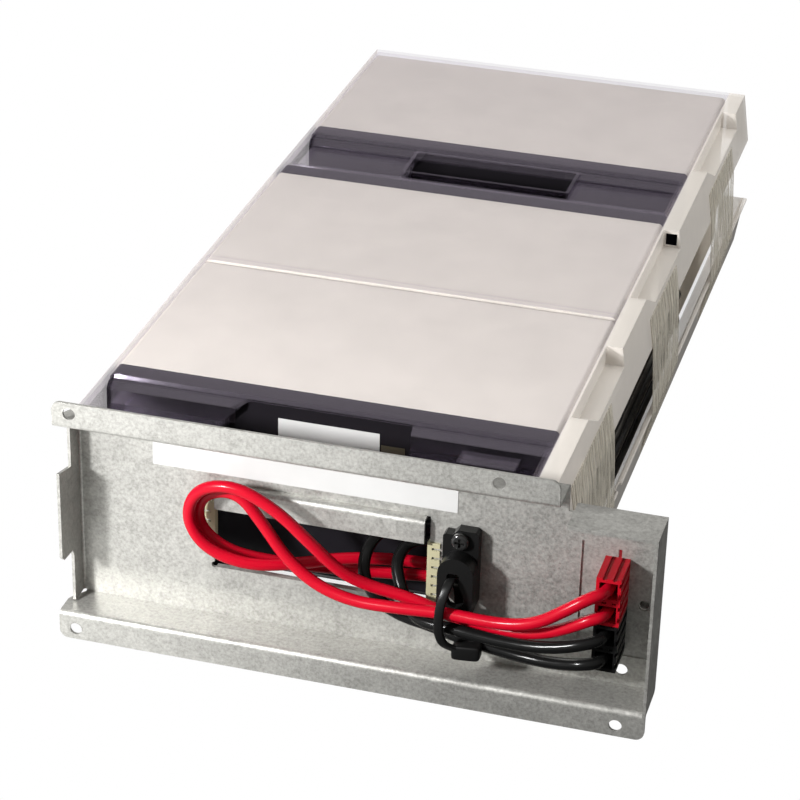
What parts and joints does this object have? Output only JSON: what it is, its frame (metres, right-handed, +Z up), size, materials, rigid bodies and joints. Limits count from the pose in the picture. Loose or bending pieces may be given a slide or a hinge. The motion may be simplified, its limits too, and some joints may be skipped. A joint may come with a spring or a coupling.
{
  "type": "ups battery cartridge",
  "caption": "Replaceable battery cartridge: sealed batteries in a row between clear formed shells, behind a folded steel bracket with power connectors and looped leads.",
  "frame": {"origin": "centre of the bottom of the whole, at the height of the lower lip's bottom edge", "axes": "+Z up, +Y from the bracket to the rear of the batteries, +X to the right as seen from the bracket"},
  "size_m": [0.1966, 0.3646, 0.088],
  "materials": {
    "galvanised_steel": "galvanised, dull",
    "cream_plastic": "smooth",
    "label_film": "matt",
    "amber_film": "smooth",
    "dark_steel": "blackened",
    "black_nylon": "moulded",
    "red_plastic": "moulded",
    "black_plastic": "moulded",
    "tinned_copper": "tinned",
    "red_insulation": "semi-gloss",
    "black_insulation": "semi-gloss",
    "case_plastic": "fine texture",
    "lid_plastic": "fine texture",
    "sleeve_vinyl": "smooth",
    "clear_sheet": "clear, thermoformed",
    "clear_tape": "clear film"
  },
  "bodies": {
    "root": {"battery_case_1": "case_plastic", "battery_case_2": "case_plastic", "battery_case_3": "case_plastic", "battery_lid_1": "lid_plastic", "battery_lid_2": "lid_plastic", "battery_lid_3": "lid_plastic", "black_lead_lower": "black_insulation", "black_lead_upper": "black_insulation", "blade_black_lower": "tinned_copper", "blade_black_upper": "tinned_copper", "blade_red_lower": "tinned_copper", "blade_red_upper": "tinned_copper", "bottom_tray": "clear_sheet", "cable_saddle": "black_nylon", "cable_tie": "black_nylon", "channel_link": "black_insulation", "edge_strip_left": "cream_plastic", "edge_strip_right": "cream_plastic", "front_bracket": "galvanised_steel", "lid_amber": "amber_film", "lid_label": "label_film", "link_lead": "black_insulation", "plate_label": "label_film", "plug_black_lower": "black_plastic", "plug_black_upper": "black_plastic", "plug_red_lower": "red_plastic", "plug_red_upper": "red_plastic", "press_nut": "galvanised_steel", "red_lead_lower": "red_insulation", "red_lead_upper": "red_insulation", "saddle_screw": "dark_steel", "side_lead_lower": "black_insulation", "side_lead_upper": "black_insulation", "spade_tab_1_left": "tinned_copper", "spade_tab_1_right": "tinned_copper", "spade_tab_2_left": "tinned_copper", "spade_tab_2_right": "tinned_copper", "spade_tab_3_left": "tinned_copper", "spade_tab_3_right": "tinned_copper", "tab_sleeve_1_left": "sleeve_vinyl", "tab_sleeve_1_right": "sleeve_vinyl", "tab_sleeve_2_left": "sleeve_vinyl", "tab_sleeve_2_right": "sleeve_vinyl", "tab_sleeve_3_left": "sleeve_vinyl", "tab_sleeve_3_right": "sleeve_vinyl", "tape_front": "clear_tape", "tape_middle": "clear_tape", "tape_rear": "clear_tape", "top_cover": "clear_sheet"}
  },
  "joints": []
}
